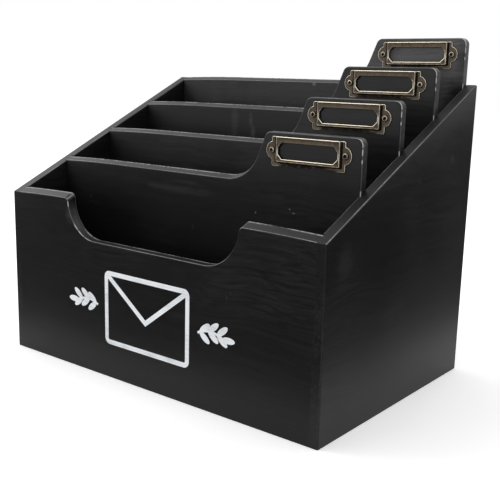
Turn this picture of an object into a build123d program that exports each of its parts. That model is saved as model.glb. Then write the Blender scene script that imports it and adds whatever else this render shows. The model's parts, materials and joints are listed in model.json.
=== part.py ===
from build123d import *
import math
import os

# A slant-topped mail organizer of painted boards: two sides, a bottom, a back, a front with a
# finger scoop, and dividers that lift out of grooves in the sides. The dividers and the back rise
# into tabs, and each tab carries a stamped brass label holder.
# Millimetres, +Z up, +Y to the back. The origin is the middle of the footprint, on the ground.

# Carcass
width = 305.0
depth = 200.0
front_height = 131.6  # rim of a side panel at the front face
rim_angle = 25.3
side_board = 8.7
front_board = 8.7
back_board = 7.0
bottom_board = 6.0
housing_depth = 1.5  # rebates and grooves in the side panels
edge_radius = 1.2  # eased arrises

# Dividers, from the front one to the rear one
divider_names = ("front", "middle", "rear")
divider_board = 7.0
slide_play = 0.2  # between a divider and each wall of its grooves

# Top edge of the front, the dividers and the back: flush with the rim at the ends, crowned between
crown_rise = 1.3
crown_run = 60.0  # from the end of the board to the level stretch

# Finger scoop in the front panel
scoop_width = 169.4
scoop_depth = 28.4  # under the rim's front end
scoop_radius = 30.0
lip_radius = 4.0  # where the scoop meets the top edge

# Tab on a divider or on the back, at the right end of the board
tab_height = 37.0  # over the rim, at the face of the board
tab_width = 75.0  # along its top edge, from the inner face of the side panel
tab_lean = 23.0  # its left flank, from upright
tab_foot_radius = 30.0
tab_corner_radius = 5.0

# Label holder: a plate with two ears, and a raised frame that leaves a card pocket open at the top
holder_inset = 40.0  # from the inner face of the side panel to the middle of the holder
holder_drop = 2.8  # from the top of the tab to the top of the plate
plate_width = 58.8
plate_height = 20.1
ear_radius = 6.0
ear_reach = 4.7  # past the end of the plate
sheet = 0.8
frame_width = 50.6
frame_height = 17.1
card_gap = 1.0
window_width = 47.6
window_height = 11.0
window_drop = 4.1  # from the top of the frame
window_cut = 3.2  # across each cut corner of the window
frame_bevel = 0.35
plate_corner = 1.2

# Screws of a label holder, one in each ear
screw_drop = 9.4  # from the top of the plate
screw_radius = 1.1
screw_length = 6.0  # under the head
screw_head_radius = 2.4
screw_head_height = 1.2
screw_head_round = 0.9
recess_length = 2.6
recess_width = 0.7
recess_depth = 0.7
screw_play = 0.05

# Brads, set under the face of the board that they are driven through
brad_radius = 0.6
brad_length = 22.0
brad_head_radius = 1.0
brad_head_height = 0.6
brad_set = 1.0
brad_play = 0.05
brads_in_row = 3
brad_margin = 22.0  # from the end of a joint to its first brad

# Print on the front: an envelope between two leaf sprigs
print_thickness = 0.15
print_height = 55.0  # its middle over the ground
envelope_width = 86.0
envelope_height = 57.0
envelope_corner = 5.0
envelope_stroke = 3.6
flap_fall = 33.0  # from the top of the envelope to the point of its flap
sprig_gap = 8.0  # from the envelope to the sprig
sprig_length = 22.0
sprig_bow = 3.0
stem_stroke = 1.8
leaf_length = 11.0
leaf_width = 4.6
leaf_angle = 38.0
leaf_spots = (0.1, 0.45, 0.8)  # along the stem

# Sizes that follow
rim_slope = math.tan(math.radians(rim_angle))
front_y = -depth / 2
back_y = depth / 2
outer_x = width / 2
inner_x = outer_x - side_board
front_length = 2 * (inner_x + housing_depth)
divider_length = front_length - 2 * slide_play
back_length = 2 * inner_x
divider_count = len(divider_names)
bottom_depth = depth - front_board - back_board
back_face = back_y - back_board
divider_pitch = (back_face - front_y) / (divider_count + 1)
divider_faces = [front_y + (i + 1) * divider_pitch for i in range(divider_count)]
scoop_sill = front_height - scoop_depth
ear_span = plate_width + 2 * (ear_reach - ear_radius)


def rim_height(y):
    """Height of the side panels' rim at a distance y."""
    return front_height + rim_slope * (y - front_y)


def spread(start, end):
    """Places of the brads along a joint, the first and last a margin in from its ends."""
    run = end - start - 2 * brad_margin
    return [start + brad_margin + run * i / (brads_in_row - 1) for i in range(brads_in_row)]


def brad_row(head_plane, inward, spots, play):
    """Brads that point along the plane's normal for inward 1, against it for -1, heads on the plane."""
    with BuildPart() as row:
        with BuildSketch(head_plane):
            with Locations(*spots):
                Circle(brad_head_radius + play)
        extrude(amount=inward * (brad_head_height + play))
        with BuildSketch(head_plane):
            with Locations(*spots):
                Circle(brad_radius + play)
        extrude(amount=inward * (brad_length + play))
    return row


def label_middle(tab_top):
    """Middle between the two screws of a label holder on the face of its board."""
    return inner_x - holder_inset, tab_top - holder_drop - screw_drop


def tabbed_board(length, thickness, face_y, base):
    """A divider or the back: a board with a crowned top edge that rises into a tab at the right."""
    left = -length / 2
    right = length / 2
    rim = rim_height(face_y)
    level = rim + crown_rise
    tab_top = rim + tab_height
    tab_left = inner_x - tab_width
    flank_foot = tab_left - (tab_top - level) * math.tan(math.radians(tab_lean))
    bevel = thickness * rim_slope
    face_plane = Plane.XZ.offset(-face_y)
    with BuildPart() as board:
        with BuildSketch(face_plane) as outline:
            with BuildLine():
                TangentArc((left + crown_run, level), (left, rim), tangent=(-1, 0))
                Polyline(
                    (left, rim),
                    (left, base - bevel),
                    (right, base - bevel),
                    (right, tab_top),
                    (tab_left, tab_top),
                    (flank_foot, level),
                    (left + crown_run, level),
                )
            make_face()
            fillet(outline.vertices().sort_by_distance((flank_foot, level))[0], tab_foot_radius)
        # The top edge is bevelled to the slope of the rim, the tab and the lower edge are level
        extrude(amount=math.hypot(thickness, bevel), dir=(0, 1, rim_slope))
        split(bisect_by=Plane.XY.offset(tab_top), keep=Keep.BOTTOM)
        split(bisect_by=Plane.XY.offset(base), keep=Keep.TOP)
        tab_edges = board.faces().sort_by(Axis.Z)[-1].edges().sort_by(Axis.X)
        fillet([tab_edges[0], tab_edges[-1]], tab_corner_radius)
        faces = board.faces().filter_by(Axis.Y)
        fillet([e for e in faces.edges() if e.center().Z > base], edge_radius)
        # Pilot holes of the label holder's screws
        with BuildSketch(face_plane):
            with Locations(label_middle(tab_top)):
                with GridLocations(plate_width, 0, 2, 1):
                    Circle(screw_radius + screw_play)
        extrude(amount=-(screw_length - sheet) - screw_play, mode=Mode.SUBTRACT)
    return board


def label_holder(face_y):
    """A label holder on the face of a tabbed board, stamped from sheet."""
    tab_top = rim_height(face_y) + tab_height
    middle = label_middle(tab_top)
    plate_top = tab_top - holder_drop
    face_plane = Plane.XZ.offset(-face_y)
    front = sheet + card_gap
    with BuildPart() as holder:
        with BuildSketch(face_plane):
            with Locations((middle[0], plate_top - plate_height / 2)):
                RectangleRounded(plate_width, plate_height, plate_corner)
            with Locations(middle):
                with GridLocations(ear_span, 0, 2, 1):
                    Circle(ear_radius)
        extrude(amount=sheet)
        with BuildSketch(face_plane):
            with Locations((middle[0], plate_top - frame_height / 2)):
                Rectangle(frame_width, frame_height)
        extrude(amount=front)
        chamfer(holder.faces().filter_by(Axis.Y).sort_by(Axis.Y)[0].edges(), frame_bevel)
        # Card pocket behind the frame, open to the back and at the top
        with BuildSketch(face_plane):
            with Locations((middle[0], plate_top)):
                Rectangle(frame_width - 2 * sheet, frame_height - sheet, align=(Align.CENTER, Align.MAX))
        extrude(amount=card_gap, mode=Mode.SUBTRACT)
        with BuildSketch(face_plane) as window:
            with Locations((middle[0], plate_top - window_drop - window_height / 2)):
                Rectangle(window_width, window_height)
            chamfer(window.vertices(), window_cut)
        extrude(amount=front, mode=Mode.SUBTRACT)
        with BuildSketch(face_plane):
            with Locations(middle):
                with GridLocations(plate_width, 0, 2, 1):
                    Circle(screw_radius + screw_play)
        extrude(amount=sheet, mode=Mode.SUBTRACT)
    return holder


def label_screws(face_y):
    """The two round-head screws of a label holder, with cross recesses."""
    middle = label_middle(rim_height(face_y) + tab_height)
    seat_plane = Plane.XZ.offset(-face_y + sheet)
    head_plane = seat_plane.offset(screw_head_height)
    with BuildPart() as screws:
        with BuildSketch(seat_plane):
            with Locations(middle):
                with GridLocations(plate_width, 0, 2, 1):
                    Circle(screw_head_radius)
        extrude(amount=screw_head_height)
        fillet(screws.faces().filter_by(Axis.Y).group_by(Axis.Y)[0].edges(), screw_head_round)
        with BuildSketch(head_plane):
            with Locations(middle):
                with GridLocations(plate_width, 0, 2, 1):
                    Rectangle(recess_length, recess_width)
                    Rectangle(recess_width, recess_length)
        extrude(amount=-recess_depth, mode=Mode.SUBTRACT)
        with BuildSketch(seat_plane):
            with Locations(middle):
                with GridLocations(plate_width, 0, 2, 1):
                    Circle(screw_radius)
        extrude(amount=-screw_length)
    return screws


def side_panel(side, brad_holes):
    """A side panel, left for side -1 and right for side 1, housed for the front and the dividers."""
    profile = (
        (front_y, 0),
        (back_y, 0),
        (back_y, rim_height(back_y)),
        (front_y, front_height),
    )
    housings = [(front_y, front_board, 0)]
    for face_y in divider_faces:
        housings.append((face_y - slide_play, divider_board + 2 * slide_play, bottom_board))
    with BuildPart() as panel:
        with BuildSketch(Plane.YZ.offset(side * inner_x)):
            with BuildLine():
                Polyline(*profile, close=True)
            make_face()
        extrude(amount=side * side_board)
        for start, breadth, foot in housings:
            with Locations((side * inner_x, start, foot)):
                Box(
                    2 * housing_depth,
                    breadth,
                    rim_height(back_y),
                    align=(Align.CENTER, Align.MIN, Align.MIN),
                    mode=Mode.SUBTRACT,
                )
        outer_face = panel.faces().filter_by(Axis.X).sort_by(Axis.X)[0 if side < 0 else -1]
        outer_edges = [e for e in outer_face.edges() if e.center().Z > edge_radius]
        inner_edges = [
            e
            for e in panel.edges().filter_by(Axis.X, reverse=True)
            if abs(e.center().X - side * inner_x) < edge_radius / 2
            and abs(e.center().Z - rim_height(e.center().Y)) < edge_radius / 2
        ]
        end_edges = [
            e
            for e in panel.edges().filter_by(Axis.X)
            if abs(e.center().X) > inner_x + housing_depth and e.center().Z > edge_radius
        ]
        fillet(outer_edges + inner_edges + end_edges, edge_radius)
        for holes in brad_holes:
            add(holes.part, mode=Mode.SUBTRACT)
    return panel


# Rows of brads, each named for the two boards that it joins, driven through the first of them
left_heads = Plane.YZ.offset(brad_set - outer_x)
right_heads = Plane.YZ.offset(outer_x - brad_set)
front_heads = Plane.XZ.offset(-front_y - brad_set)
back_heads = Plane.XZ.offset(brad_set - back_y)
front_spots = [(front_y + front_board / 2, z) for z in spread(0, front_height)]
back_spots = [(back_y - back_board / 2, z) for z in spread(0, rim_height(back_face))]
side_spots = [(y, bottom_board / 2) for y in spread(front_y + front_board, back_face)]
end_spots = [(x, bottom_board / 2) for x in spread(-inner_x, inner_x)]
brad_rows = {
    ("left", "front"): (left_heads, 1, front_spots),
    ("right", "front"): (right_heads, -1, front_spots),
    ("left", "back"): (left_heads, 1, back_spots),
    ("right", "back"): (right_heads, -1, back_spots),
    ("left", "bottom"): (left_heads, 1, side_spots),
    ("right", "bottom"): (right_heads, -1, side_spots),
    ("front", "bottom"): (front_heads, -1, end_spots),
    ("back", "bottom"): (back_heads, 1, end_spots),
}
brad_holes = {joint: brad_row(*row, brad_play) for joint, row in brad_rows.items()}


def holes_in(board):
    """The brad holes that reach into a board."""
    return [holes for joint, holes in brad_holes.items() if board in joint]


pieces = {}
pieces["left_side_panel"] = side_panel(-1, holes_in("left"))
pieces["right_side_panel"] = side_panel(1, holes_in("right"))

half_front = front_length / 2
front_level = front_height + crown_rise
front_bevel = front_board * rim_slope
front_plane = Plane.XZ.offset(-front_y)
with BuildPart() as front_panel:
    with BuildSketch(front_plane):
        with BuildLine():
            TangentArc((crown_run - half_front, front_level), (-half_front, front_height), tangent=(-1, 0))
            TangentArc((half_front - crown_run, front_level), (half_front, front_height), tangent=(1, 0))
            Line((crown_run - half_front, front_level), (half_front - crown_run, front_level))
            Polyline(
                (-half_front, front_height),
                (-half_front, -front_bevel),
                (half_front, -front_bevel),
                (half_front, front_height),
            )
        make_face()
    extrude(amount=math.hypot(front_board, front_bevel), dir=(0, 1, rim_slope))
    split(bisect_by=Plane.XY, keep=Keep.TOP)
    with BuildSketch(front_plane) as scoop:
        with Locations((0, scoop_sill)):
            Rectangle(scoop_width, scoop_depth + scoop_radius, align=(Align.CENTER, Align.MIN))
        fillet(scoop.vertices().group_by(Axis.Y)[0], scoop_radius)
    extrude(amount=-front_board, mode=Mode.SUBTRACT)
    through_edges = [e for e in front_panel.edges() if abs(e.tangent_at(0).Y) > rim_slope]
    lips = [e for e in through_edges if abs(abs(e.center().X) - scoop_width / 2) < edge_radius]
    fillet(lips, lip_radius)
    face_edges = front_panel.faces().filter_by(Axis.Y).edges()
    fillet([e for e in face_edges if e.center().Z > scoop_sill - edge_radius], edge_radius)
    for holes in holes_in("front"):
        add(holes.part, mode=Mode.SUBTRACT)
pieces["front_panel"] = front_panel

with BuildPart() as bottom_panel:
    with Locations((0, front_y + front_board, 0)):
        Box(2 * inner_x, bottom_depth, bottom_board, align=(Align.CENTER, Align.MIN, Align.MIN))
    for holes in holes_in("bottom"):
        add(holes.part, mode=Mode.SUBTRACT)
pieces["bottom_panel"] = bottom_panel

plain_back = tabbed_board(back_length, back_board, back_face, 0)
with BuildPart() as back_panel:
    add(plain_back.part)
    for holes in holes_in("back"):
        add(holes.part, mode=Mode.SUBTRACT)
pieces["back_panel"] = back_panel

for name, face_y in zip(divider_names, divider_faces):
    pieces[f"{name}_divider"] = tabbed_board(divider_length, divider_board, face_y, bottom_board)

for name, face_y in zip((*divider_names, "back"), (*divider_faces, back_face)):
    pieces[f"{name}_label_holder"] = label_holder(face_y)
    pieces[f"{name}_label_screws"] = label_screws(face_y)

for joint, row in brad_rows.items():
    pieces[f"{joint[0]}_{joint[1]}_brads"] = brad_row(*row, 0)

envelope_top = envelope_height / 2
envelope_side = envelope_width / 2
sprig_start = envelope_side + sprig_gap
sprig_end = sprig_start + sprig_length
leaf_turn = math.radians(leaf_angle)
leaf_reach = leaf_length / 2
with BuildPart() as front_print:
    with BuildSketch(front_plane.shift_origin((0, front_y, print_height))):
        RectangleRounded(envelope_width, envelope_height, envelope_corner)
        RectangleRounded(
            envelope_width - 2 * envelope_stroke,
            envelope_height - 2 * envelope_stroke,
            envelope_corner - envelope_stroke,
            mode=Mode.SUBTRACT,
        )
        with BuildLine():
            Polyline(
                (envelope_stroke - envelope_side, envelope_top - envelope_stroke),
                (0, envelope_top - flap_fall),
                (envelope_side - envelope_stroke, envelope_top - envelope_stroke),
            )
        trace(line_width=envelope_stroke)
        with BuildLine() as stem:
            ThreePointArc((sprig_start, 0), ((sprig_start + sprig_end) / 2, sprig_bow), (sprig_end, 0))
        trace(line_width=stem_stroke)
        for spot in leaf_spots:
            foot = stem.line @ spot
            for turn in (leaf_turn, -leaf_turn):
                leaf_run = leaf_reach * math.cos(turn)
                leaf_climb = leaf_reach * math.sin(turn)
                with Locations((foot.X + leaf_run, foot.Y + leaf_climb)):
                    Ellipse(leaf_reach, leaf_width / 2, rotation=math.degrees(turn))
        with Locations((sprig_end + leaf_reach, 0)):
            Ellipse(leaf_reach, leaf_width / 2)
        mirror(about=Plane.YZ)
    extrude(amount=print_thickness)
pieces["front_print"] = front_print

os.makedirs("parts", exist_ok=True)
for name, piece in pieces.items():
    piece.part.label = name
    export_step(piece.part, f"parts/{name}.step")
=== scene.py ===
"""Looks of a slant-topped mail organizer: worn black boards, antique brass label holders, a white print.

Lengths in the classes are millimetres unless a name or a comment says otherwise. Blender's own units are
metres. The weights of noises and bumps and the ranges of masks are chosen one by one.
"""
import json
import logging
import math
from dataclasses import dataclass, field, replace
from enum import Enum
from functools import partial, reduce
from typing import Any

import bpy
import numpy as np
from bpy.types import Material, NodeSocket, Object, World
from mathutils import Matrix, Vector


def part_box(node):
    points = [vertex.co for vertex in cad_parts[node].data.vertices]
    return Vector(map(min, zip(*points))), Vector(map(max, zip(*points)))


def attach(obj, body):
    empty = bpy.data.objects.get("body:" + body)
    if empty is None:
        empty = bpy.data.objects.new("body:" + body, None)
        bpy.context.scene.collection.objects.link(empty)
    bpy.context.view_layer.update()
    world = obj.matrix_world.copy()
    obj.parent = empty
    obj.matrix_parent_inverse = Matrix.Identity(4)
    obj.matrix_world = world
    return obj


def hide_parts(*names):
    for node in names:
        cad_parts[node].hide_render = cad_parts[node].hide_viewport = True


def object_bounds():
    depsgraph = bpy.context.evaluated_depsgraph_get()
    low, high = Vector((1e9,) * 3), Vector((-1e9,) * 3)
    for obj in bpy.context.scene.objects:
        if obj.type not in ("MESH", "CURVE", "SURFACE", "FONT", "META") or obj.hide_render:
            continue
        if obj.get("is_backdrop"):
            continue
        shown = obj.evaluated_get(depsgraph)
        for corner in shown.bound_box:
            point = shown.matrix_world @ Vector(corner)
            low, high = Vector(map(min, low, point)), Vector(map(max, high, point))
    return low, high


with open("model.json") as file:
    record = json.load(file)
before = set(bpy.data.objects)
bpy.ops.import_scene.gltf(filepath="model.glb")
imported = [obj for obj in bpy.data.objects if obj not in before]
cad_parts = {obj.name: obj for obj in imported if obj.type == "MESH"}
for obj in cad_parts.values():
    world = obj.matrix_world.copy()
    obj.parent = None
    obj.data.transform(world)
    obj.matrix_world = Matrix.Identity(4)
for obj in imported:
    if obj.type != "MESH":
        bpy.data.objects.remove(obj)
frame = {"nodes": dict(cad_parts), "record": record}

log = logging.getLogger("mail_organizer")

MM = 0.001
RIM_ANGLE = math.radians(25.3)  # slope of the side panels' rims, from level
TAB_NAMES = ("front", "middle", "rear", "back")
NOISE_MIDDLE = 0.5  # the value that a noise swings about
KNOCK_CORE = 0.6  # share of a knock's reach that is bare all over
PATCH_CORE = 0.2  # share of a patch that is covered all over
PATCH_SWING = 1.6  # half sizes that the noise moves a patch's surface by

Operand = Any  # a Wire, a number, or a tuple for a colour or a vector
Pair = tuple[float, float]
Triple = tuple[float, float, float]
Colour = tuple[float, float, float, float]


class Axis(Enum):
    """A direction of the organizer's frame."""

    ACROSS = (1.0, 0.0, 0.0)
    DEEP = (0.0, 1.0, 0.0)
    UP = (0.0, 0.0, 1.0)


class Wire:
    """A node's output socket, with the arithmetic that shader maths needs."""

    def __init__(self, recipe: "Recipe", socket: NodeSocket | None) -> None:
        """Remember the socket and the recipe that it belongs to."""
        self.recipe = recipe
        self.socket = socket

    def __add__(self, other: Operand) -> "Wire":
        """Sum of the two."""
        return self.recipe.maths("ADD", self, other)

    __radd__ = __add__

    def __sub__(self, other: Operand) -> "Wire":
        """This less the other."""
        return self.recipe.maths("SUBTRACT", self, other)

    def __rsub__(self, other: Operand) -> "Wire":
        """The other less this."""
        return self.recipe.maths("SUBTRACT", other, self)

    def __mul__(self, other: Operand) -> "Wire":
        """Product of the two."""
        return self.recipe.maths("MULTIPLY", self, other)

    def __abs__(self) -> "Wire":
        """Size without its sign."""
        return self.recipe.maths("ABSOLUTE", self)


class Recipe:
    """The node tree of a material or of the world, written as expressions on wires."""

    def __init__(self, owner: Material | World) -> None:
        """Start from an empty tree.

        Args:
            owner: The material or the world that the tree belongs to.
        """
        owner.use_nodes = True
        self.owner = owner
        self.tree = owner.node_tree
        self.tree.nodes.clear()

    @classmethod
    def of_finish(cls, name: str) -> "Recipe":
        """A recipe for a new material of that name."""
        return cls(bpy.data.materials.new(name))

    def node(
        self, kind: str, settings: dict[str, Any], inputs: dict[int | str, Operand], output: int | str = 0
    ) -> Wire:
        """Add one node.

        Args:
            kind: Blender's name for the node's type.
            settings: Properties that are set first.
            inputs: Values or wires by socket index or identifier.
            output: Index or name of the output to hand back.

        Returns:
            The wire of that output, with no socket where the node has none.
        """
        made = self.tree.nodes.new(kind)
        for key, value in settings.items():
            setattr(made, key, value)
        by_identifier = {socket.identifier: socket for socket in made.inputs}
        for key, value in inputs.items():
            socket = made.inputs[key] if isinstance(key, int) else by_identifier[key]
            if isinstance(value, Wire):
                self.tree.links.new(value.socket, socket)
            else:
                socket.default_value = value
        return Wire(self, made.outputs[output] if made.outputs else None)

    def maths(self, operation: str, *values: Operand) -> Wire:
        """One Math node on up to three values."""
        return self.node("ShaderNodeMath", {"operation": operation}, dict(enumerate(values)))

    def vector_maths(self, operation: str, *values: Operand, output: int | str = 0) -> Wire:
        """One Vector Math node on up to three vectors."""
        return self.node("ShaderNodeVectorMath", {"operation": operation}, dict(enumerate(values)), output)

    def largest(self, *values: Operand) -> Operand:
        """The largest of several values."""
        return reduce(partial(self.maths, "MAXIMUM"), values)

    def smallest(self, *values: Operand) -> Operand:
        """The smallest of several values."""
        return reduce(partial(self.maths, "MINIMUM"), values)

    def rise(self, value: Wire, start: float, end: float) -> Wire:
        """A smooth rise from 0 to 1 as the value goes from start to end, which may be the lower one."""
        inputs = {"Value": value, "From Min": start, "From Max": end, "To Min": 0.0, "To Max": 1.0}
        return self.node("ShaderNodeMapRange", {"interpolation_type": "SMOOTHSTEP"}, inputs)

    def mix(self, share: Operand, first: Operand, second: Operand) -> Wire:
        """A colour between two colours."""
        inputs = {"Factor_Float": share, "A_Color": first, "B_Color": second}
        return self.node("ShaderNodeMix", {"data_type": "RGBA", "clamp_factor": True}, inputs, output=2)

    def here(self) -> Wire:
        """Object coordinates, in metres."""
        return self.node("ShaderNodeTexCoord", {}, {}, "Object")

    def place(self, scale: float | Triple | np.ndarray, shift: Triple = (0.0, 0.0, 0.0)) -> Wire:
        """Object coordinates in metres, scaled along each axis and then shifted."""
        each = np.broadcast_to(scale, 3).tolist()
        return self.node("ShaderNodeMapping", {}, {"Vector": self.here(), "Scale": each, "Location": shift})

    def noise(self, spot: Wire, detail: float, roughness: float = 0.55, distortion: float = 0.0) -> Wire:
        """Fractal noise at a place, one cell wide per unit."""
        values = {"Detail": detail, "Roughness": roughness, "Distortion": distortion}
        return self.node("ShaderNodeTexNoise", {}, {"Vector": spot, "Scale": 1.0, **values})

    def wavy(self, spot: Wire, slow: Wire, sway: np.ndarray) -> Wire:
        """A place moved by slow noise, along each axis by up to about half its sway."""
        drift = self.node("ShaderNodeTexNoise", {}, {"Vector": slow, "Scale": 1.0, "Detail": 2.0}, "Color")
        return self.vector_maths("MULTIPLY_ADD", drift, sway.tolist(), spot)

    def spots(self, spot: Wire) -> Wire:
        """Distance to the nearest of scattered points, one per unit cell."""
        return self.node("ShaderNodeTexVoronoi", {"feature": "F1"}, {"Vector": spot, "Scale": 1.0})

    def near(self, spot: Triple, reach: float, ragged: Wire) -> Wire:
        """1 within a ragged reach of a place, falling to 0 beyond it, in metres."""
        gap = self.vector_maths("DISTANCE", self.here(), spot, output="Value")
        return self.rise(gap + (ragged - NOISE_MIDDLE) * reach, reach, reach * KNOCK_CORE)

    def patch(self, spot: Triple, half: Triple, ragged: Wire) -> Wire:
        """1 in the middle of an upright ellipsoid of half sizes in metres, 0 past its ragged surface."""
        share = self.vector_maths("DIVIDE", self.vector_maths("SUBTRACT", self.here(), spot), half)
        reach = self.vector_maths("LENGTH", share, output="Value")
        return self.rise(reach + (ragged - NOISE_MIDDLE) * PATCH_SWING, 1.0, PATCH_CORE)

    def facing(self, axis: Axis) -> Wire:
        """How far the surface's normal points along an axis, from -1 to 1."""
        normal = self.node("ShaderNodeNewGeometry", {}, {}, "Normal")
        return self.vector_maths("DOT_PRODUCT", normal, axis.value, output="Value")

    def along(self, axis: Axis) -> Wire:
        """Object coordinate along an axis, in metres."""
        return self.vector_maths("DOT_PRODUCT", self.here(), axis.value, output="Value")

    def attribute(self, name: str) -> Wire:
        """A number kept at the mesh's points."""
        return self.node("ShaderNodeAttribute", {"attribute_name": name}, {}, "Fac")

    def bump(self, height: Wire, depth_m: float, strength: float) -> Wire:
        """A normal that leans with a height from 0 to 1 over a depth in metres."""
        values = {"Height": height, "Distance": depth_m, "Strength": strength}
        return self.node("ShaderNodeBump", {}, values)

    def shown(self) -> Wire:
        """1 for what the camera sees straight, in gloss or through glass, else 0."""
        rays = ("Camera", "Glossy", "Transmission")
        return self.largest(*(self.node("ShaderNodeLightPath", {}, {}, f"Is {ray} Ray") for ray in rays))

    def finish(self, **sockets: Operand) -> Material:
        """Close a material's recipe with a Principled shader.

        Args:
            **sockets: Values or wires by socket name, with underscores for blanks.

        Returns:
            The finished material.
        """
        inputs = {key.replace("_", " ").title().replace("Ior", "IOR"): sockets[key] for key in sockets}
        shader = self.node("ShaderNodeBsdfPrincipled", {}, inputs, "BSDF")
        self.node("ShaderNodeOutputMaterial", {}, {"Surface": shader})
        return self.owner


def shade(code: int) -> Colour:
    """Linear colour of an 0xRRGGBB code, by the sRGB curve."""
    parts = np.array([code >> 16 & 255, code >> 8 & 255, code & 255]) / 255
    linear = np.where(parts <= 0.04045, parts / 12.92, ((parts + 0.055) / 1.055) ** 2.4)
    return (*linear.tolist(), 1.0)


def grey(level: float) -> Colour:
    """Linear grey."""
    return (level, level, level, 1.0)


@dataclass(frozen=True)
class Knock:
    """A place where the paint is knocked off an arris, in metres."""

    spot: Triple
    reach: float


@dataclass(frozen=True)
class RubAndSheen:
    """A soft patch of paler grey, its middle and half sizes in metres: some are rubbed paint, and some a
    painted sheen where more light falls.
    """

    spot: Triple
    half: Triple
    level: float


@dataclass(frozen=True)
class BoardPaint:
    """Satin black paint on a board: faint grain under it, burnished rims, arrises worn pale.

    Cells, here and in the other finishes, are a noise's and are counted per metre.
    """

    name: str
    grain: Axis  # along the board's fibres
    thickness: Axis  # through the board
    seed: float
    knocks: tuple[Knock, ...] = ()
    rubs_and_sheen: tuple[RubAndSheen, ...] = ()
    end_wear: float = 0.0  # of the arrises at the right end, next to those on top
    end_flecks: float = 0.0  # chips all over the right end
    top_wear: float = 0.15  # of the flat tops
    far_face: float | None = None  # along the thickness in metres, where its top edge is worn
    fade: Pair | None = None  # depths in metres between which most of the pale arris line fades away towards the back
    grain_rise: Pair | None = None  # heights in metres over which the grain comes out
    black: float = 0.0076
    black_spread: Pair = (0.6, 2.2)  # shares of the black between the streaks and on them
    scuffed: float = 0.03
    worn: float = 0.32
    wood: float = 0.42  # bare at a knock
    line: float = 0.45  # wear that an arris shows all along
    sheltered: float = 0.04  # wear of an arris that no hand reaches
    fade_share: float = 0.6  # of the pale arris line, that fades there
    far_run: Pair = (2.7, 1.9)  # from the far face to the start and the end of the worn line
    grain_run: float = 0.013  # streaks per mm along the fibres
    grain_pitch: float = 0.5  # streaks per mm across them
    grain_wave: float = 7.0  # streaks that a wave of the grain spans
    pore_pitch: float = 2.2  # pores per streak
    seed_steps: Triple = (7.3, 3.1, 5.7)  # cells that a seed moves the noises by
    wave_cells: float = 16.0
    cloud_cells: float = 14.0
    ragged_cells: float = 420.0
    patch_cells: float = 46.0
    open_cells: float = 9.0
    dust_cells: float = 95.0
    scuff_cells: Pair = (9.0, 70.0)  # along the fibres and across them
    gloss: float = 0.2
    satin: float = 0.29  # roughness before the noises add to it
    depth: float = 0.1  # of the grain

    def material(self) -> Material:
        """The paint as a material."""
        return PaintCoat(self).material()


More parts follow.
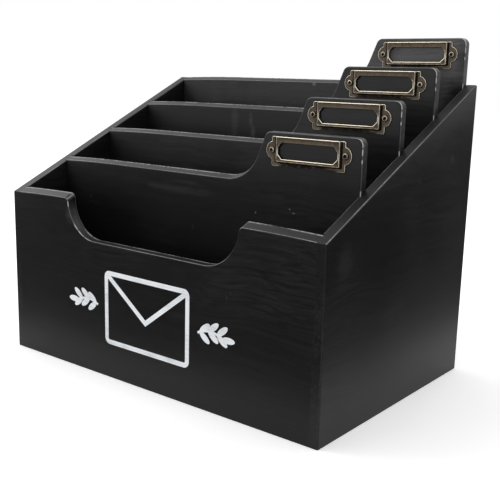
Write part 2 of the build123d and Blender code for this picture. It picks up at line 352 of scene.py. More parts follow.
class PaintCoat:
    """The recipe of one board's paint, with the noises and masks that its steps share."""

    def __init__(self, paint: BoardPaint) -> None:
        """Lay the noises out over the board.

        The streaks are noise drawn out along the fibres and bent by slow noise. Dust is a scatter of
        points where the clouds are thick.

        Args:
            paint: The finish that the recipe is for.
        """
        r = Recipe.of_finish(paint.name)
        self.r, self.paint = r, paint
        along = np.array(paint.grain.value)
        across = 1 - along
        shift = tuple(paint.seed * step for step in paint.seed_steps)
        place = partial(r.place, shift=shift)
        fibre = (along * paint.grain_run + across * paint.grain_pitch) / MM
        run = r.wavy(place(fibre), place(paint.wave_cells), across * paint.grain_wave)
        scuff = along * paint.scuff_cells[0] + across * paint.scuff_cells[1]
        self.streaks = r.noise(run, 5.0, 0.62, 0.4)
        self.pores = r.noise(place(fibre * paint.pore_pitch), 3.0, 0.7)
        self.clouds = r.noise(place(paint.cloud_cells), 4.0)
        self.ragged = r.noise(place(paint.ragged_cells), 4.0, 0.7)
        self.patches = r.noise(place(paint.patch_cells), 3.0)
        self.scuffs = r.rise(r.noise(place(scuff), 6.0, 0.7), 0.6, 0.78)
        specks = r.rise(r.spots(place(paint.dust_cells)), 0.08, 0.03)
        self.dust = specks * r.rise(self.clouds, 0.54, 0.62)
        self.open_grain = r.rise(r.noise(place(paint.open_cells), 2.0), 0.42, 0.62)
        if paint.grain_rise is not None:
            self.open_grain = self.open_grain * r.rise(r.along(Axis.UP), *paint.grain_rise)
        self.up = r.facing(Axis.UP)
        self.right = r.facing(Axis.ACROSS)
        self.arris = self.find_arris()
        self.bare = self.wear_off()

    def broken(self, ragged: float, patches: float, start: float, end: float) -> Wire:
        """A mask of broken patches: shares of two noises added up, and their sum raised over a range."""
        return self.r.rise(self.ragged * ragged + self.patches * patches, start, end)

    def find_arris(self) -> Wire:
        """Where the normal is no face's, no square edge's and no edge's that is cut to the rim's slope.

        Returns:
            1 on the rounding of an arris, 0 off it.
        """
        r = self.r
        lean = r.facing(self.paint.thickness)
        slant = math.sin(RIM_ANGLE) if self.paint.thickness is Axis.DEEP else 0.0
        off_slant = abs(lean + slant) + r.rise(self.up, 0.85, 0.6)
        return r.rise(r.smallest(1 - abs(lean), abs(lean), off_slant), 0.17, 0.28)

    def wear_off(self) -> Wire:
        """Wear along the arrises that hands reach, and along the last of a flat top before its far arris.

        Returns:
            How far the paint is worn off, from 0 to 1.
        """
        r, paint = self.r, self.paint
        handled = r.largest(r.rise(self.up, 0.3, 0.7), r.rise(self.right, 0.4, 0.8) * paint.end_wear)
        exposed = paint.sheltered + handled * (1 - paint.sheltered)
        if paint.fade is not None:
            exposed = exposed * (1 - r.rise(r.along(Axis.DEEP), *paint.fade) * paint.fade_share)
        gone = paint.line + self.broken(0.45, 0.75, 0.52, 0.74) * (1 - paint.line)
        bare = self.arris * exposed * gone
        if paint.far_face is not None:
            start, end = (paint.far_face - run * MM for run in paint.far_run)
            edge = r.rise(r.along(paint.thickness), start, end) * r.rise(self.up, 0.75, 0.9)
            bare = r.largest(bare, edge * self.broken(0.6, 0.4, 0.4, 0.56))
        return bare

    def chips(self) -> Wire:
        """Small chips in what faces up, and flecks all over a right end that has them.

        Returns:
            How far the paint is chipped, from 0 to 1.
        """
        chips = self.broken(0.5, 0.7, 0.78, 0.84) * self.r.rise(self.up, -0.2, 0.6)
        if self.paint.end_flecks:
            end = self.r.rise(self.right, 0.6, 0.9) * self.paint.end_flecks
            chips = self.r.largest(chips, self.broken(0.8, 0.2, 0.53, 0.63) * end)
        return chips

    def colour(self) -> Wire:
        """Black with paler streaks, and over it rubs and painted sheen, scuffs and dust, worn arrises and
        chips, and knocks.

        Returns:
            The board's colour.
        """
        r, paint = self.r, self.paint
        fine = r.rise(self.clouds * 0.3 + self.streaks * 0.7, 0.34, 0.7)
        dark, light = (grey(paint.black * share) for share in paint.black_spread)
        base = r.mix(fine * (0.35 + self.open_grain * 0.65), dark, light)
        # paler patches: rubbed paint, and painted sheen where more light falls
        for pale_patch in paint.rubs_and_sheen:
            share = r.patch(pale_patch.spot, pale_patch.half, self.patches) * (0.5 + fine * 0.5)
            base = r.mix(share, base, grey(pale_patch.level))
        burnished = r.rise(self.up, 0.75, 0.95) * paint.top_wear * self.streaks
        base = r.mix(self.scuffs * 0.4 + self.dust * 0.8 + burnished, base, grey(paint.scuffed))
        base = r.mix(r.largest(self.bare * 0.85, self.chips() * 0.5), base, grey(paint.worn))
        for knock in paint.knocks:
            share = r.near(knock.spot, knock.reach, self.ragged) * self.arris
            base = r.mix(share, base, grey(paint.wood))
        return base

    def material(self) -> Material:
        """Close the recipe, rougher and lower where the paint is worn.

        Returns:
            The finished material.
        """
        paint = self.paint
        roughness = paint.satin + self.streaks * 0.12 + self.clouds * 0.08
        roughness = roughness + self.scuffs * 0.12 + self.bare * 0.12
        relief = (self.streaks * 0.6 + self.pores * 0.3) * (0.4 + self.open_grain * 0.6)
        return self.r.finish(
            base_color=self.colour(),
            roughness=roughness,
            normal=self.r.bump(relief - self.bare * 0.3, paint.depth * MM, 0.55),
            specular_ior_level=paint.gloss,
        )


@dataclass(frozen=True)
class AntiqueBrass:
    """Stamped brass with a brown patina: bright where the wear attribute is high and near black where it is
    low, which holds rubbed wear, painted highlights and painted shade.
    """

    name: str
    seed: float
    # near black for hollows and for painted shade; the bright colour for rubbed brass and painted
    # highlights
    dark_hollow_and_shade: int = 0x0F0C0A
    patina: int = 0x564D42
    rubbed_and_highlight: int = 0xEADFC9
    seed_steps: Triple = (4.7, 2.9, 8.3)
    stain_cells: float = 260.0
    pit_cells: float = 1500.0
    drawn_cells: Triple = (90.0, 900.0, 1600.0)
    stain_swing: float = 0.55  # of the wear with the stains
    pit_swing: float = 0.2
    metal: float = 0.9
    dull: float = 0.5  # roughness of the patina
    depth: float = 0.06  # of the pits

    def material(self) -> Material:
        """The brass as a material: near black, patina or bright metal, by the wear and painted light after
        stains and pits.

        Returns:
            The finished material.
        """
        r = Recipe.of_finish(self.name)
        shift = tuple(self.seed * step for step in self.seed_steps)
        stains = r.noise(r.place(self.stain_cells, shift), 5.0, 0.65)
        pits = r.noise(r.place(self.pit_cells, shift), 3.0, 0.6)
        drawn = r.noise(r.place(self.drawn_cells, shift), 3.0, 0.6)
        level = r.attribute("wear_and_painted_light") + (stains - NOISE_MIDDLE) * self.stain_swing
        level = level + (pits - NOISE_MIDDLE) * self.pit_swing
        tone = r.mix(r.rise(level, 0.05, 0.36), shade(self.dark_hollow_and_shade), shade(self.patina))
        tone = r.mix(r.rise(level, 0.5, 1.0), tone, shade(self.rubbed_and_highlight))
        roughness = self.dull - r.rise(level, 0.4, 1.0) * 0.16 + pits * 0.12
        normal = r.bump(drawn * 0.4 + pits * 0.6, self.depth * MM, 0.5)
        return r.finish(base_color=tone, metallic=self.metal, roughness=roughness, normal=normal)


@dataclass(frozen=True)
class BrightWire:
    """Drawn steel wire of the brads."""

    name: str = "drawn_steel"
    line_cells: Triple = (2500.0, 2500.0, 300.0)
    dark: float = 0.42
    light: float = 0.62
    smooth: float = 0.3  # roughness between the drawn lines

    def material(self) -> Material:
        """The steel as a material.

        Returns:
            The finished material.
        """
        r = Recipe.of_finish(self.name)
        lines = r.noise(r.place(self.line_cells), 3.0)
        tone = r.mix(lines, grey(self.dark), grey(self.light))
        return r.finish(base_color=tone, metallic=1.0, roughness=self.smooth + lines * 0.15)


@dataclass(frozen=True)
class MattPrint:
    """Matt white ink, a little thin over the grain and flecked."""

    name: str = "white_ink"
    ink: int = 0xE6E9EC
    thin: int = 0xC2C6CB
    fleck: int = 0x55585C
    shift: Triple = (3.0, 1.0, 2.0)
    streak_cells: Triple = (22.0, 900.0, 900.0)
    cloud_cells: float = 60.0
    fleck_cells: float = 900.0
    fleck_share: float = 0.6
    matt: float = 0.55  # roughness between the streaks
    gloss: float = 0.3
    depth: float = 0.08  # of the streaks

    def material(self) -> Material:
        """The ink as a material.

        Returns:
            The finished material.
        """
        r = Recipe.of_finish(self.name)
        streaks = r.noise(r.place(self.streak_cells, self.shift), 5.0, 0.62, 0.4)
        clouds = r.noise(r.place(self.cloud_cells, self.shift), 3.0)
        flecks = r.rise(r.noise(r.place(self.fleck_cells, self.shift), 2.0), 0.72, 0.8)
        thin = r.rise(streaks * 0.5 + clouds * 0.5, 0.4, 0.75)
        tone = r.mix(thin, shade(self.ink), shade(self.thin))
        tone = r.mix(flecks * self.fleck_share, tone, shade(self.fleck))
        return r.finish(
            base_color=tone,
            roughness=self.matt + streaks * 0.15,
            normal=r.bump(streaks, self.depth * MM, 0.4),
            specular_ior_level=self.gloss,
        )


@dataclass
class Shell:
    """A closed surface: points in metres, quads, flat caps, and the wear and painted light at each point.
    """

    points: np.ndarray
    quads: np.ndarray
    caps: list[list[int]]
    wear_and_painted_light: np.ndarray

    @classmethod
    def of_grid(cls, points: np.ndarray, wear_and_painted_light: np.ndarray, wrap_rows: bool) -> "Shell":
        """A shell on a grid whose points run row by row and whose columns close on themselves.

        Args:
            points: The grid's points, in metres.
            wear_and_painted_light: The wear and painted light at each, in the grid's rows and columns.
            wrap_rows: True where the last row joins the first. Otherwise flat caps close both.

        Returns:
            The shell, with a quad in each cell of the grid.
        """
        rows, columns = wear_and_painted_light.shape
        number = np.arange(rows * columns).reshape(rows, columns)
        after = np.roll(number, -1, axis=1)
        corners = (number, after, np.roll(after, -1, axis=0), np.roll(number, -1, axis=0))
        quads = np.stack(corners, axis=-1)[: rows if wrap_rows else rows - 1].reshape(-1, 4)
        caps = [] if wrap_rows else [number[0, ::-1].tolist(), number[-1].tolist()]
        return cls(points, quads, caps, wear_and_painted_light.reshape(-1))

    def outward(self) -> "Shell":
        """Turn the faces outwards, by the sign of the volume that they enclose.

        Over the faces' triangles, the volume is a sum of one corner times the cross product of the others.

        Returns:
            This shell, or the same one with its faces turned round.
        """
        volume = 0.0
        corners = self.points[self.quads]
        for a, b, c in ((0, 1, 2), (0, 2, 3)):
            volume += np.einsum("ij,ij->", corners[:, a], np.cross(corners[:, b], corners[:, c]))
        for cap in self.caps:
            ring = self.points[cap] - self.points[cap].mean(axis=0)
            spread = np.cross(ring, np.roll(ring, -1, axis=0)).sum(axis=0)
            volume += float(spread @ self.points[cap].mean(axis=0))
        if volume < 0:
            return Shell(self.points, self.quads[:, ::-1], [cap[::-1] for cap in self.caps], self.wear_and_painted_light)
        return self


def new_object(name: str, data: Any) -> Object:
    """An object that holds the data, linked into the scene."""
    made = bpy.data.objects.new(name, data)
    bpy.context.scene.collection.objects.link(made)
    return made


def make_piece(name: str, shells: list[Shell], sharp_deg: float) -> Object:
    """Put shells together into one mesh object.

    Args:
        name: The piece's name.
        shells: Closed surfaces that make up the piece.
        sharp_deg: Faces that meet at more than this angle stay crisp.

    Returns:
        The object, linked into the scene.
    """
    turned = [shell.outward() for shell in shells]
    starts = np.cumsum([0] + [len(shell.points) for shell in turned])
    faces: list[list[int]] = []
    for start, shell in zip(starts, turned):
        faces += (shell.quads + start).tolist()
        faces += [[int(start) + i for i in cap] for cap in shell.caps]
    mesh = bpy.data.meshes.new(name)
    mesh.from_pydata(np.concatenate([shell.points for shell in turned]).tolist(), [], faces)
    wear_and_painted_light = mesh.attributes.new("wear_and_painted_light", "FLOAT", "POINT")
    wear_and_painted_light.data.foreach_set("value", np.concatenate([shell.wear_and_painted_light for shell in turned]).astype(np.float32))
    mesh.polygons.foreach_set("use_smooth", np.ones(len(mesh.polygons), bool))
    mesh.set_sharp_from_angle(angle=math.radians(sharp_deg))
    mesh.update()
    return new_object(name, mesh)


def arc(centre: Pair, radius: float, start_deg: float, end_deg: float, steps: int) -> np.ndarray:
    """Points on a circle from one angle to another, both ends included."""
    turn = np.radians(np.linspace(start_deg, end_deg, steps + 1))
    return np.stack([centre[0] + radius * np.cos(turn), centre[1] + radius * np.sin(turn)], axis=1)


def inward_normals(outline: np.ndarray) -> np.ndarray:
    """Mitred inward normals of a closed outline that runs clockwise.

    Each is the sum of the two edges' normals, divided by one plus their product, so that a step along
    it moves both edges by the same distance.

    Args:
        outline: Points in order, one row each.

    Returns:
        A normal for each point.
    """
    edge = np.roll(outline, -1, axis=0) - outline
    edge = edge / np.linalg.norm(edge, axis=1, keepdims=True)
    normal = np.stack([edge[:, 1], -edge[:, 0]], axis=1)
    before = np.roll(normal, 1, axis=0)
    return (before + normal) / (1 + np.sum(before * normal, axis=1, keepdims=True))


def body_of(node: str) -> str:
    """Name of the body that carries a CAD node."""
    bodies = frame["record"]["behaviour"]["bodies"]
    return next(body for body, nodes in bodies.items() if node in nodes)


def dress(node: str, material: Material) -> None:
    """Give a CAD node's object one material in all its slots, and report it.

    Args:
        node: The node's name.
        material: Its finish.
    """
    piece = frame["nodes"][node]
    if not piece.material_slots:
        piece.data.materials.append(material)
    for slot in piece.material_slots:
        slot.material = material
    log.info("dressed %s in %s", node, material.name)


@dataclass
class LabelHolder:
    """A stamped brass label holder with a raised frame, on the face of a tab."""

    tab: str
    plate_width: float = 58.8
    plate_corner: float = 1.2
    plate_level: float = 0.5  # of the plate inside its bead
    strip_end: float = 3.5  # run from each end of the lower strip over which its painted shadow sets in
    # share of the strip's wear taken away between its ends: a painted shadow of the frame
    strip_shadow: float = 0.72
    strip_bow: float = 0.06  # of its long edges towards each other
    ear_radius: float = 6.0
    ear_reach: float = 4.7  # past the end of the plate
    screw_drop: float = 9.4  # from the top of the plate
    sheet: float = 0.8
    frame_width: float = 50.6
    frame_height: float = 17.1
    frame_round: float = 0.7
    window_width: float = 47.6
    window_height: float = 11.0
    window_drop: float = 4.1
    window_cut: float = 3.2
    # The frame's flanks are painted near black: painted shade on their sides, and under the frame a painted
    # shadow line.
    flank_side: float = 2.0  # run of the frame's pressed sides
    flank_foot: float = 0.9  # run of its lower side
    screw_radius: float = 2.4
    screw_height: float = 1.2
    slot_length: float = 2.6
    slot_width: float = 0.75
    slot_depth: float = 0.75
    slot_blur: float = 0.04  # over which the recess falls
    slot_turn_deg: float = 12.0  # of the cross, both screws alike
    slot_spread_deg: float = 20.0  # more on the right screw and less on the left
    slot_dark: float = 0.95  # wear that the recess takes away
    dome_fall: float = 0.75  # share of the head's height
    flank_sink: float = 0.1  # of the flanks' feet into the plate
    mitre_gap: float = 0.05  # between the two stations at an upper corner
    station_across: float = 4.0  # from a corner of the frame to the next station
    station_down: float = 5.0
    corner_steps: int = 6
    ear_steps: int = 32
    strip_steps: int = 16
    station_steps: int = 12
    head_rings: int = 34
    head_spokes: int = 72
    holder_sharp_deg: float = 38.0
    head_sharp_deg: float = 50.0

    def __post_init__(self) -> None:
        """Take the holder's place from the frame."""
        low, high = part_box(f"{self.tab}_label_holder")
        self.middle = (low.x + high.x) / 2 / MM, (low.z + high.z) / 2 / MM
        self.board_face = high.y / MM
        self.front = (high.y - low.y) / MM
        self.top = (high.z - low.z) / 2 / MM
        self.screw_up = self.top - self.screw_drop

    def placed(self, across: np.ndarray, up: np.ndarray, out: np.ndarray) -> np.ndarray:
        """Points in metres from millimetres across, up and out from the middle of the plate."""
        spots = (self.middle[0] + across, self.board_face - out, self.middle[1] + up)
        return np.stack(np.broadcast_arrays(*spots), axis=-1).reshape(-1, 3) * MM

    def plate(self) -> Shell:
        """The plate: a U with two ears, whose edge is a bead.

        The bead's section, as an inset from the outline and a height over the board, is carried along
        the whole outline. The last ring closes with a flat face, and so does the back. The strip under
        the frame is a hair narrower in its middle, keeps its wear at its ends, and between them is
        painted darker, a painted shadow of the frame.

        Returns:
            The plate's closed surface.
        """
        half = self.plate_width / 2
        inner = self.frame_width / 2 - self.sheet
        sill = self.top - self.frame_height + self.sheet
        turn = self.plate_corner
        ear_across = half + self.ear_reach - self.ear_radius
        ear_turn = math.degrees(math.acos((half - ear_across) / self.ear_radius))
        right = np.concatenate([
            arc((half - turn, self.top - turn), turn, 90, 0, self.corner_steps),
            arc((ear_across, self.screw_up), self.ear_radius, ear_turn, -ear_turn, self.ear_steps),
            arc((half - turn, turn - self.top), turn, 0, -90, self.corner_steps),
        ])
        left = right[::-1] * (-1, 1)
        steps = np.linspace(1, -1, self.strip_steps)[1:-1]
        bow = self.strip_bow * (1 - steps**2)
        foot = np.stack([steps * (half - turn), bow - self.top], axis=1)
        slot = np.stack([-steps * inner, sill - bow], axis=1)
        ends = np.array([[-inner, self.top], [-inner, sill], [inner, sill], [inner, self.top]])
        outline = np.concatenate([right, foot, left, ends[:2], slot, ends[2:]])
        inset = np.array([0.0, 0.0, 0.06, 0.18, 0.36, 0.5, 0.64, 0.8])
        height = np.array([0.0, 0.6, 0.73, 0.8, 0.78, 0.64, 0.54, self.plate_level])
        wear_and_painted_light = np.array([0.05, 0.4, 0.9, 1.0, 0.6, 0.25, 0.22, 0.4])
        # the lower strip loses most of its wear between its ends: a painted shadow of the frame
        under = np.clip((inner - np.abs(outline[:, 0])) / self.strip_end, 0, 1) * (outline[:, 1] <= sill)
        fade = 1 - self.strip_shadow * under
        rings = outline + inset[:, None, None] * inward_normals(outline)
        points = self.placed(rings[..., 0], rings[..., 1], height[:, None])
        return Shell.of_grid(points, np.outer(wear_and_painted_light, fade), False)

    def frame_stations(self) -> np.ndarray:
        """Matching stations round the frame, clockwise from the middle of its top.

        Returns:
            One row per station: the face's outer edge across and up, the window's edge across and up,
            the run of the pressed flank across and up, how far the flank falls, from 0 at the open top
            to 1 at the plate, and how bright the outer edge and the window's edge are: rubbed brass, with a
            painted highlight where they face up.
        """
        edge = self.frame_width / 2
        foot = self.top - self.frame_height
        side = self.window_width / 2
        head = self.top - self.window_drop
        sill = head - self.window_height
        cut = self.window_cut
        run, down = self.flank_side, -self.flank_foot
        gap = self.mitre_gap
        inner = edge - self.station_across
        # last two columns: rubbed brass, brighter where an edge faces up, a painted highlight of the light
        # from above
        keys = np.array([
            (0, self.top, 0, head, 0, 0, 0, 1.0, 0.3),
            (inner, self.top, side - cut, head, 0, 0, 0, 1.0, 0.3),
            (edge - gap, self.top, side - cut / 2 - gap, head - cut / 2 + gap, 0, 0, 0, 1.0, 0.4),
            (edge, self.top - gap, side - cut / 2, head - cut / 2, run, 0, 1, 0.95, 0.5),
            (edge, self.top - self.station_down, side, head - cut, run, 0, 1, 0.9, 0.8),
            (edge, foot + self.station_down, side, sill + cut, run, 0, 1, 0.9, 1.0),
            (edge, foot, side - cut / 2, sill + cut / 2, run, down, 1, 0.8, 1.0),
            (inner, foot, side - cut, sill, 0, down, 1, 0.7, 1.0),
            (0, foot, 0, sill, 0, down, 1, 0.7, 1.0),
        ])
        steps = np.linspace(0, len(keys) - 1, self.station_steps * (len(keys) - 1) + 1)
        right = np.stack([np.interp(steps, np.arange(len(keys)), column) for column in keys.T], axis=1)
        left = right[-2:0:-1] * (-1, 1, -1, 1, -1, 1, 1, 1, 1)
        loop = np.concatenate([right, left])
        middle = np.array([0, (self.top + foot) / 2])
        straight = np.array([edge, (self.top - foot) / 2]) - self.frame_round
        past = np.maximum(np.abs(loop[:, 0:2] - middle) - straight, 0)
        turning = (past > 0).all(axis=1)
        reach = past[turning] / np.linalg.norm(past[turning], axis=1, keepdims=True)
        way = np.sign(loop[turning, 0:2] - middle)
        loop[turning, 0:2] = middle + way * (straight + self.frame_round * reach)
        return loop

    def raised_frame(self) -> Shell:
        """The raised frame: a ring whose section runs from the flank's foot over the face to the window.

        A point of the section lies a share of the way from the outer edge to the window's edge, plus an
        inset along that way in mm, plus a share of the flank's run. It stands a number of mm under the
        front, and falls by a share of the flank's fall. Both edges of the face are rounded beads.

        Returns:
            The frame's closed surface.
        """
        section = np.array([
            # share, inset, run, fall, under, wear and painted light, more at a bright outer edge, at a
            # bright window
            # the flank's rows, near black: painted shade, and at the frame's foot a painted shadow line
            (0, 0, 1, 1, 0, 0.12, 0, 0),
            (0, 0, 0.7, 0.82, 0, 0.02, 0, 0),
            (0, 0, 0.38, 0.42, 0, 0.02, 0, 0),
            (0, 0, 0.12, 0.1, 0.1, 0.1, 0.1, 0),
            (0, 0, 0, 0, 0.24, 0.15, 0.55, 0),
            (0, 0.14, 0, 0, 0.07, 0.15, 0.85, 0),
            (0, 0.38, 0, 0, 0, 0.15, 0.85, 0),
            (0, 0.56, 0, 0, 0.04, 0.2, 0.55, 0),
            (0, 0.7, 0, 0, 0.13, 0.28, 0.05, 0),
            (0.5, 0, 0, 0, 0.16, 0.28, 0, 0),
            (1, -0.7, 0, 0, 0.13, 0.28, 0, 0.05),
            (1, -0.56, 0, 0, 0.04, 0.2, 0, 0.55),
            (1, -0.38, 0, 0, 0, 0.15, 0, 0.85),
            (1, -0.14, 0, 0, 0.07, 0.15, 0, 0.85),
            (1, 0, 0, 0, 0.24, 0.1, 0, 0.55),
            # the window's walls and the frame's back, near black: painted shade
            (1, 0, 0, 0, self.sheet, 0.02, 0, 0),
            (0.3, 0, 0, 0, self.sheet, 0, 0, 0),
            (0.06, 0, 0.7, 1, self.sheet / 4, 0, 0, 0),
        ])
        share, inset, run, fall, under, wear_and_painted_light, at_edge, at_window = section.T[..., None]
        loop = self.frame_stations()
        outer, window, flank = loop[:, 0:2], loop[:, 2:4], loop[:, 4:6]
        way = window - outer
        way_one = way / np.linalg.norm(way, axis=1, keepdims=True)
        spots = outer + share[..., None] * way + inset[..., None] * way_one + run[..., None] * flank
        pressed = loop[:, 6]
        full_fall = pressed * (self.front - self.plate_level + self.flank_sink) + (1 - pressed) * self.sheet
        level = self.front - under - fall * (full_fall - under)
        points = self.placed(spots[..., 0], spots[..., 1], level)
        # wear plus the painted highlight at the bright edges
        rubbed_and_lit = wear_and_painted_light + at_edge * loop[:, 7] + at_window * loop[:, 8]
        return Shell.of_grid(points, rubbed_and_lit, True)

    def screw_head(self, side: float) -> Shell:
        """A round head with a cross recess.

        Over radius and angle, the height is a dome that falls away as the fourth power of the radius,
        less the recess, which is deep where either arm of the cross covers the point.

        Args:
            side: -1 for the left ear, 1 for the right one.

        Returns:
            The head's closed surface.
        """
        share = np.concatenate([np.linspace(0.02, 0.94, self.head_rings), (0.98, 1.0, 1.0)])
        radius = self.screw_radius * share
        turn = np.linspace(0, 2 * np.pi, self.head_spokes, endpoint=False)
        across = radius[:, None] * np.cos(turn)
        up = radius[:, None] * np.sin(turn)
        dome = self.plate_level + self.screw_height * (1 - self.dome_fall * share**4)
        dome[-1] = self.plate_level
        tilt = math.radians(self.slot_spread_deg * side + self.slot_turn_deg)
        arm_x = np.abs(across * math.cos(tilt) + up * math.sin(tilt))
        arm_y = np.abs(up * math.cos(tilt) - across * math.sin(tilt))
        reach = np.maximum(arm_x, arm_y) - self.slot_length / 2
        width = np.minimum(arm_x, arm_y) - self.slot_width / 2
        past = np.clip(np.maximum(reach, width) / self.slot_blur, -40, 40)  # within what exp can hold
        inside = 1 / (1 + np.exp(past))
        height = dome[:, None] - self.slot_depth * inside
        # a bright ring part way down the dome: a painted highlight; the crest and the rim stay darker
        ring = np.interp(share, (0, 0.4, 0.6, 0.8, 0.9, 1), (0.25, 0.35, 0.72, 0.72, 0.28, 0.05))
        wear_and_painted_light = np.clip(ring[:, None] - self.slot_dark * inside, 0, 1)
        points = self.placed(side * self.plate_width / 2 + across, self.screw_up + up, height)
        return Shell.of_grid(points, wear_and_painted_light, False)

    def build(self) -> list[Object]:
        """Make the holder and its screws, on the body of the tab that they are fixed to.

        Returns:
            The holder and the screws.
        """
        brass = AntiqueBrass(f"antique_brass_{self.tab}", TAB_NAMES.index(self.tab) + 1.0).material()
        stamped = [self.plate(), self.raised_frame()]
        holder = make_piece(f"{self.tab}_stamped_holder", stamped, self.holder_sharp_deg)
        heads = [self.screw_head(-1.0), self.screw_head(1.0)]
        screws = make_piece(f"{self.tab}_screw_heads", heads, self.head_sharp_deg)
        roles = ((holder, "label_holder", "antique_brass"), (screws, "label_screws", "screw_brass"))
        for piece, node, slot in roles:
            piece.data.materials.append(brass)
            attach(piece, body_of(f"{self.tab}_{node}"))
            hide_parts(f"{self.tab}_{node}")
        return [holder, screws]


@dataclass
class Boards:
    """The painted boards, each with its own run of the grain."""

    front: str = "front_panel"
    tabbed: tuple[str, ...] = ("front_divider", "middle_divider", "rear_divider", "back_panel")
    along: tuple[str, ...] = ("left_side_panel", "right_side_panel")
    flat: tuple[str, ...] = ("bottom_panel",)
    tab_height: float = 37.0  # over the rim
    scoop_wear: float = 0.55  # of the arrises that face the right in the scoop
    tab_end_wear: float = 0.25  # of the arrises at a tab's right end
    tab_end_flecks: float = 0.2
    tab_top_wear: float = 0.5
    rim_fade: Pair = (-0.04, 0.05)  # depths in metres
    front_grain_rise: Pair = (0.05, 0.105)  # heights in metres
    scoop_knocks: tuple[Knock, ...] = (
        Knock((-0.0846, -0.1, 0.1284), 0.0024),
        Knock((-0.0755, -0.1, 0.1118), 0.0032),
        Knock((-0.0695, -0.1, 0.1075), 0.0042),
        Knock((-0.0625, -0.1, 0.1042), 0.004),
    )
    rubs_and_sheen: dict[str, tuple[RubAndSheen, ...]] = field(default_factory=lambda: {
        # The first two patches of the back panel are painted sheen: its tab and its upper part painted
        # paler, as if more light fell there.
        "back_panel": (
            RubAndSheen((0.106, 0.093, 0.238), (0.07, 0.03, 0.045), 0.1),
            RubAndSheen((-0.03, 0.093, 0.21), (0.2, 0.03, 0.04), 0.028),
            RubAndSheen((0.0085, 0.0935, 0.2226), (0.0028, 0.004, 0.0024), 0.14),
        ),
        "front_panel": (RubAndSheen((-0.08, -0.096, 0.119), (0.012, 0.007, 0.014), 0.05),),
        "front_divider": (
            RubAndSheen((-0.014, -0.052, 0.143), (0.05, 0.02, 0.004), 0.02),
            RubAndSheen((0.061, -0.0518, 0.1341), (0.0008, 0.002, 0.001), 0.2),
            RubAndSheen((0.0903, -0.0518, 0.1398), (0.001, 0.002, 0.001), 0.2),
            RubAndSheen((0.0937, -0.0518, 0.1374), (0.0016, 0.002, 0.0007), 0.12),
        ),
        "rear_divider": (
            RubAndSheen((-0.039, 0.045, 0.188), (0.005, 0.02, 0.018), 0.026),
            RubAndSheen((-0.0215, 0.045, 0.191), (0.0036, 0.02, 0.01), 0.036),
            RubAndSheen((-0.0193, 0.045, 0.182), (0.0042, 0.02, 0.01), 0.046),
        ),
        "right_side_panel": (
            RubAndSheen((0.152, -0.078, 0.117), (0.02, 0.012, 0.018), 0.019),
            RubAndSheen((0.152, 0.065, 0.172), (0.02, 0.003, 0.005), 0.035),
        ),
    })

    def knocks(self, node: str) -> tuple[Knock, ...]:
        """Knocks in the front's scoop, or down the front arris of a tab's right end.

        Args:
            node: A board's name.

        Returns:
            The knocks, or none for a board with neither.
        """
        if node == self.front:
            return self.scoop_knocks
        if node not in self.tabbed:
            return ()
        low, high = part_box(node)
        # inset from the right end, drop from the top, reach
        drops = ((2.5, 3.0, 4.5), (0.6, 9.0, 2.5), (0.6, 15.0, 1.6), (0.6, self.tab_height - 1.5, 2.6))
        return tuple(
            Knock((high.x - inset * MM, low.y, high.z - drop * MM), reach * MM)
            for inset, drop, reach in drops
        )

    def paint(self, node: str, grain: Axis, thickness: Axis, seed: float) -> BoardPaint:
        """The paint of one board, with the wear that its place in the organizer gives it.

        Args:
            node: The board's name.
            grain: The way that its fibres run.
            thickness: The way through it.
            seed: Sets its noises apart from the other boards'.

        Returns:
            The board's paint.
        """
        marks = self.knocks(node), self.rubs_and_sheen.get(node, ())
        paint = BoardPaint(f"black_paint_{node}", grain, thickness, seed, *marks)
        if node == self.front:
            paint = replace(paint, end_wear=self.scoop_wear, grain_rise=self.front_grain_rise)
        if node in self.tabbed:
            paint = replace(paint, end_wear=self.tab_end_wear, end_flecks=self.tab_end_flecks)
            paint = replace(paint, top_wear=self.tab_top_wear)
        if node in (self.front, *self.tabbed):
            paint = replace(paint, far_face=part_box(node)[1].y)
        if node in self.along:
            paint = replace(paint, fade=self.rim_fade)
        return paint

    def dress(self) -> None:
        """Paint every board."""
        groups = (
            ((self.front, *self.tabbed), Axis.ACROSS, Axis.DEEP),
            (self.along, Axis.DEEP, Axis.ACROSS),
            (self.flat, Axis.ACROSS, Axis.UP),
        )
        boards = [(node, grain, thickness) for nodes, grain, thickness in groups for node in nodes]
        for number, (node, grain, thickness) in enumerate(boards, 1):
            dress(node, self.paint(node, grain, thickness, float(number)).material())


@dataclass
class Fixings:
    """The brads, driven under the paint."""

    suffix: str = "_brads"

    def dress(self) -> None:
        """Give every row of brads its steel."""
        steel = BrightWire().material()
        for node in frame["nodes"]:
            if node.endswith(self.suffix):
                dress(node, steel)


@dataclass
class FrontPrint:
    """The white print on the front panel."""

    node: str = "front_print"

    def dress(self) -> None:
        """Ink the print."""
        dress(self.node, MattPrint().material())


@dataclass(frozen=True)
class SoftBox:
    """A square lamp that faces the organizer, in metres and watts."""

    name: str
    place: Triple
    size: float
    power: float

    def build(self, aim: Vector) -> None:
        """Hang the lamp and turn it to its aim.

        Args:
            aim: The place that it faces, in metres.
        """
        lamp = bpy.data.lights.new(self.name, "AREA")
        lamp.shape = "SQUARE"
        lamp.size = self.size
        lamp.energy = self.power
        holder = new_object(self.name, lamp)
        holder.location = self.place
        holder.rotation_mode = "QUATERNION"
        holder.rotation_quaternion = (aim - Vector(self.place)).to_track_quat("-Z", "Y")


@dataclass(frozen=True)
class DarkCard:
    """A dark card that stands on the floor, so that a side reflects less of the white room. Metres."""

    name: str
    place: Pair
    facing_deg: float
    width: float
    start_height: float
    end_height: float
    tone: float


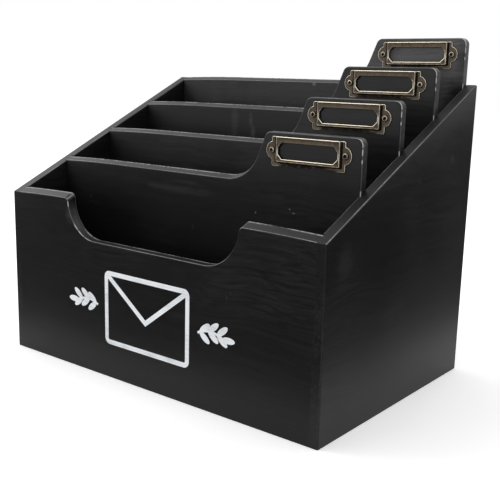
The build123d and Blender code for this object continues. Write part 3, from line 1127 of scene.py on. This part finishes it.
@dataclass
class Studio:
    """Floor, cards, lamps, world and camera, in metres but for the lens and its sensor."""

    floor_half: float = 6.0
    floor_level: float = -0.0003
    floor_white: float = 0.94
    floor_speckle: float = 0.01
    floor_cells: float = 300.0
    floor_glow: float = 0.3  # that only the camera and reflections see
    felt_spread: float = 0.2  # of a card's tone
    felt_cells: float = 200.0
    room_light: float = 0.75
    boxes: tuple[SoftBox, ...] = (
        SoftBox("key_box", (-1.3, -0.5, 1.7), 1.3, 16.0),
        SoftBox("back_box", (0.3, 1.5, 1.6), 1.2, 8.0),
        SoftBox("front_box", (-0.85, -1.75, 0.45), 0.7, 3.5),
        SoftBox("left_box", (-1.9, 0.5, 0.95), 0.9, 2.5),
    )
    cards: tuple[DarkCard, ...] = (
        DarkCard("front_card", (-0.1, -0.150), 4.0, 0.64, 0.16, 0.16, 0.3),
        DarkCard("side_card", (0.209, 0.17), 86.5, 0.46, 0.26, 0.13, 0.1),
        DarkCard("corner_card", (0.43, -0.15), 90.0, 0.4, 0.25, 0.25, 0.05),
    )
    camera_place: Triple = (0.41008, -0.50097, 0.22797)
    camera_turns_deg: Triple = (38.174, 12.001, -1.426)  # yaw, pitch downwards and roll
    lens: float = 58.89
    sensor: float = 36.0

    def sheet(self, name: str, corners: np.ndarray, material: Material) -> Object:
        """A flat four-cornered sheet that is no part of the object.

        Args:
            name: The sheet's name.
            corners: Its corners in order, in metres.
            material: Its finish.

        Returns:
            The sheet's object.
        """
        mesh = bpy.data.meshes.new(name)
        mesh.from_pydata(corners.tolist(), [], [[0, 1, 2, 3]])
        mesh.materials.append(material)
        piece = new_object(name, mesh)
        piece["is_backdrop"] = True
        return piece

    def build_floor(self) -> None:
        """Lay a plain pale floor that keeps the shadow and is white to the camera elsewhere."""
        r = Recipe.of_finish("pale_floor")
        speckle = r.noise(r.place(self.floor_cells), 2.0)
        dark, light = self.floor_white - self.floor_speckle, self.floor_white + self.floor_speckle
        glow = r.mix(r.shown(), grey(0.0), grey(self.floor_glow))
        paper = r.finish(
            base_color=r.mix(speckle, grey(dark), grey(light)),
            roughness=0.9,
            specular_ior_level=0.1,
            emission_color=glow,
            emission_strength=1.0,
        )
        square = np.array([(-1, -1), (1, -1), (1, 1), (-1, 1)]) * self.floor_half
        corners = np.column_stack([square, np.full(4, self.floor_level)])
        self.sheet("floor", corners, paper)

    def build_cards(self) -> None:
        """Stand the dark cards, which only reflections see."""
        for card in self.cards:
            r = Recipe.of_finish(card.name)
            felt = r.noise(r.place(self.felt_cells), 3.0)
            dark, light = card.tone * (1 - self.felt_spread), card.tone * (1 + self.felt_spread)
            tone = r.mix(felt, grey(dark), grey(light))
            cloth = r.finish(base_color=tone, roughness=1.0, specular_ior_level=0.0)
            turn = math.radians(card.facing_deg)
            run = np.array([math.cos(turn), -math.sin(turn)]) * card.width / 2
            ends = np.array([card.place - run, card.place + run])
            around = ends[[0, 1, 1, 0]]
            corners = np.column_stack([around, (0.0, 0.0, card.end_height, card.start_height)])
            piece = self.sheet(card.name, corners, cloth)
            piece.visible_camera = False
            piece.visible_diffuse = False
            piece.visible_shadow = False

    def build_room(self) -> None:
        """Light the room evenly, and show it white to the camera, to gloss and through glass."""
        world = bpy.data.worlds.new("white_room")
        bpy.context.scene.world = world
        r = Recipe(world)
        light = r.node("ShaderNodeBackground", {}, {"Color": grey(1.0), "Strength": self.room_light})
        white = r.node("ShaderNodeBackground", {}, {"Color": grey(1.0), "Strength": 1.0})
        room = r.node("ShaderNodeMixShader", {}, {0: r.shown(), 1: light, 2: white})
        r.node("ShaderNodeOutputWorld", {}, {"Surface": room})

    def build_camera(self) -> None:
        """Stand the camera at the photograph's viewpoint, turned by its yaw, its pitch and its roll."""
        lens = bpy.data.cameras.new("camera")
        lens.lens = self.lens
        lens.sensor_width = self.sensor
        stand = Matrix.Translation(self.camera_place)
        yaw, pitch, roll = self.camera_turns_deg
        for angle_deg, axis in ((yaw, "Z"), (90.0 - pitch, "X"), (-roll, "Z")):
            stand = stand @ Matrix.Rotation(math.radians(angle_deg), 4, axis)
        camera = new_object("camera", lens)
        camera.matrix_world = stand
        bpy.context.scene.camera = camera

    def build(self) -> None:
        """Set up the whole studio."""
        self.build_floor()
        self.build_cards()
        self.build_room()
        low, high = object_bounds()
        for box in self.boxes:
            box.build((low + high) / 2)
        self.build_camera()
        bpy.context.scene.view_settings.view_transform = "Standard"


def main() -> None:
    """Dress the organizer piece by piece, then set up the studio."""
    logging.basicConfig(level=logging.INFO, format="%(message)s")
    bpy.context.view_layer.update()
    Boards().dress()
    Fixings().dress()
    FrontPrint().dress()
    for tab in TAB_NAMES:
        for piece in LabelHolder(tab).build():
            log.info("made %s", piece.name)
    Studio().build()


if __name__ == "__main__":
    main()
